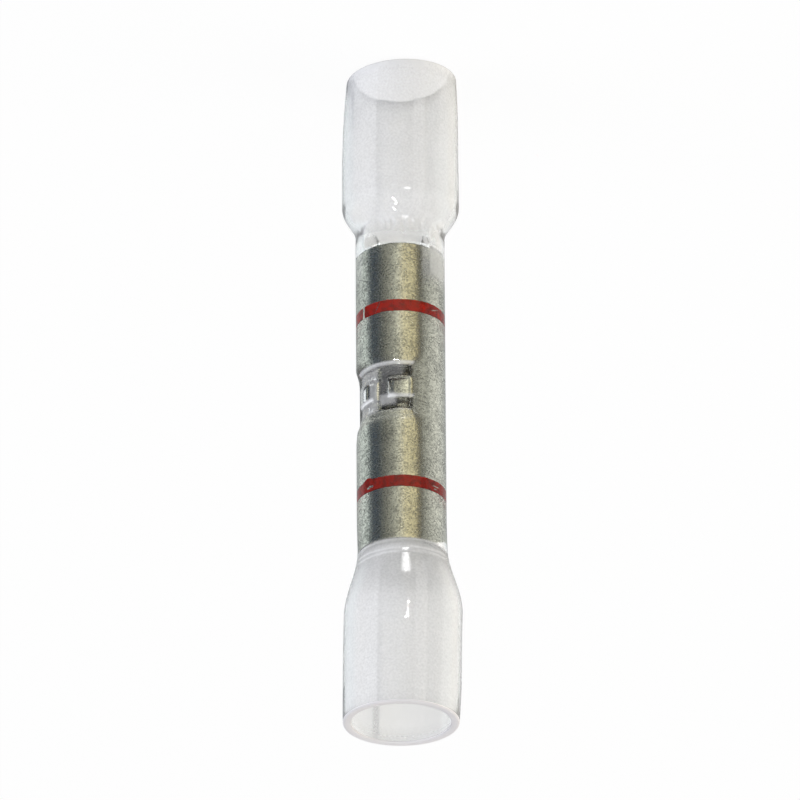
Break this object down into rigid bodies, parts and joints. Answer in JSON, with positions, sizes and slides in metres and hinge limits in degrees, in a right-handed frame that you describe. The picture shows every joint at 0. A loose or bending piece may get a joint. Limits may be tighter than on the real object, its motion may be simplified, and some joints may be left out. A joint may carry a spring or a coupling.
{
  "type": "butt splice connector",
  "caption": "Clear heat-shrink butt splice: a tinned crimp barrel with a lanced wire stop and red code bands inside a sleeve whose ends flare into bell mouths, for joining thin wires end to end.",
  "frame": {"origin": "centre of the lower cut rim, on the surface that the connector stands on", "axes": "+Z along the axis from the lower mouth to the upper mouth, -Y the way the wire-stop lance faces"},
  "size_m": [0.006, 0.006, 0.036],
  "materials": {
    "clear_sleeve": "clear glossy heat-shrink plastic",
    "tinned_copper": "satin tin plating on copper, finely mottled",
    "red_ink": "thin red printing ink under the clear sleeve"
  },
  "bodies": {
    "root": {"heat_shrink_sleeve": "clear_sleeve", "crimp_barrel": "tinned_copper", "lower_colour_band": "red_ink", "upper_colour_band": "red_ink"}
  },
  "joints": []
}
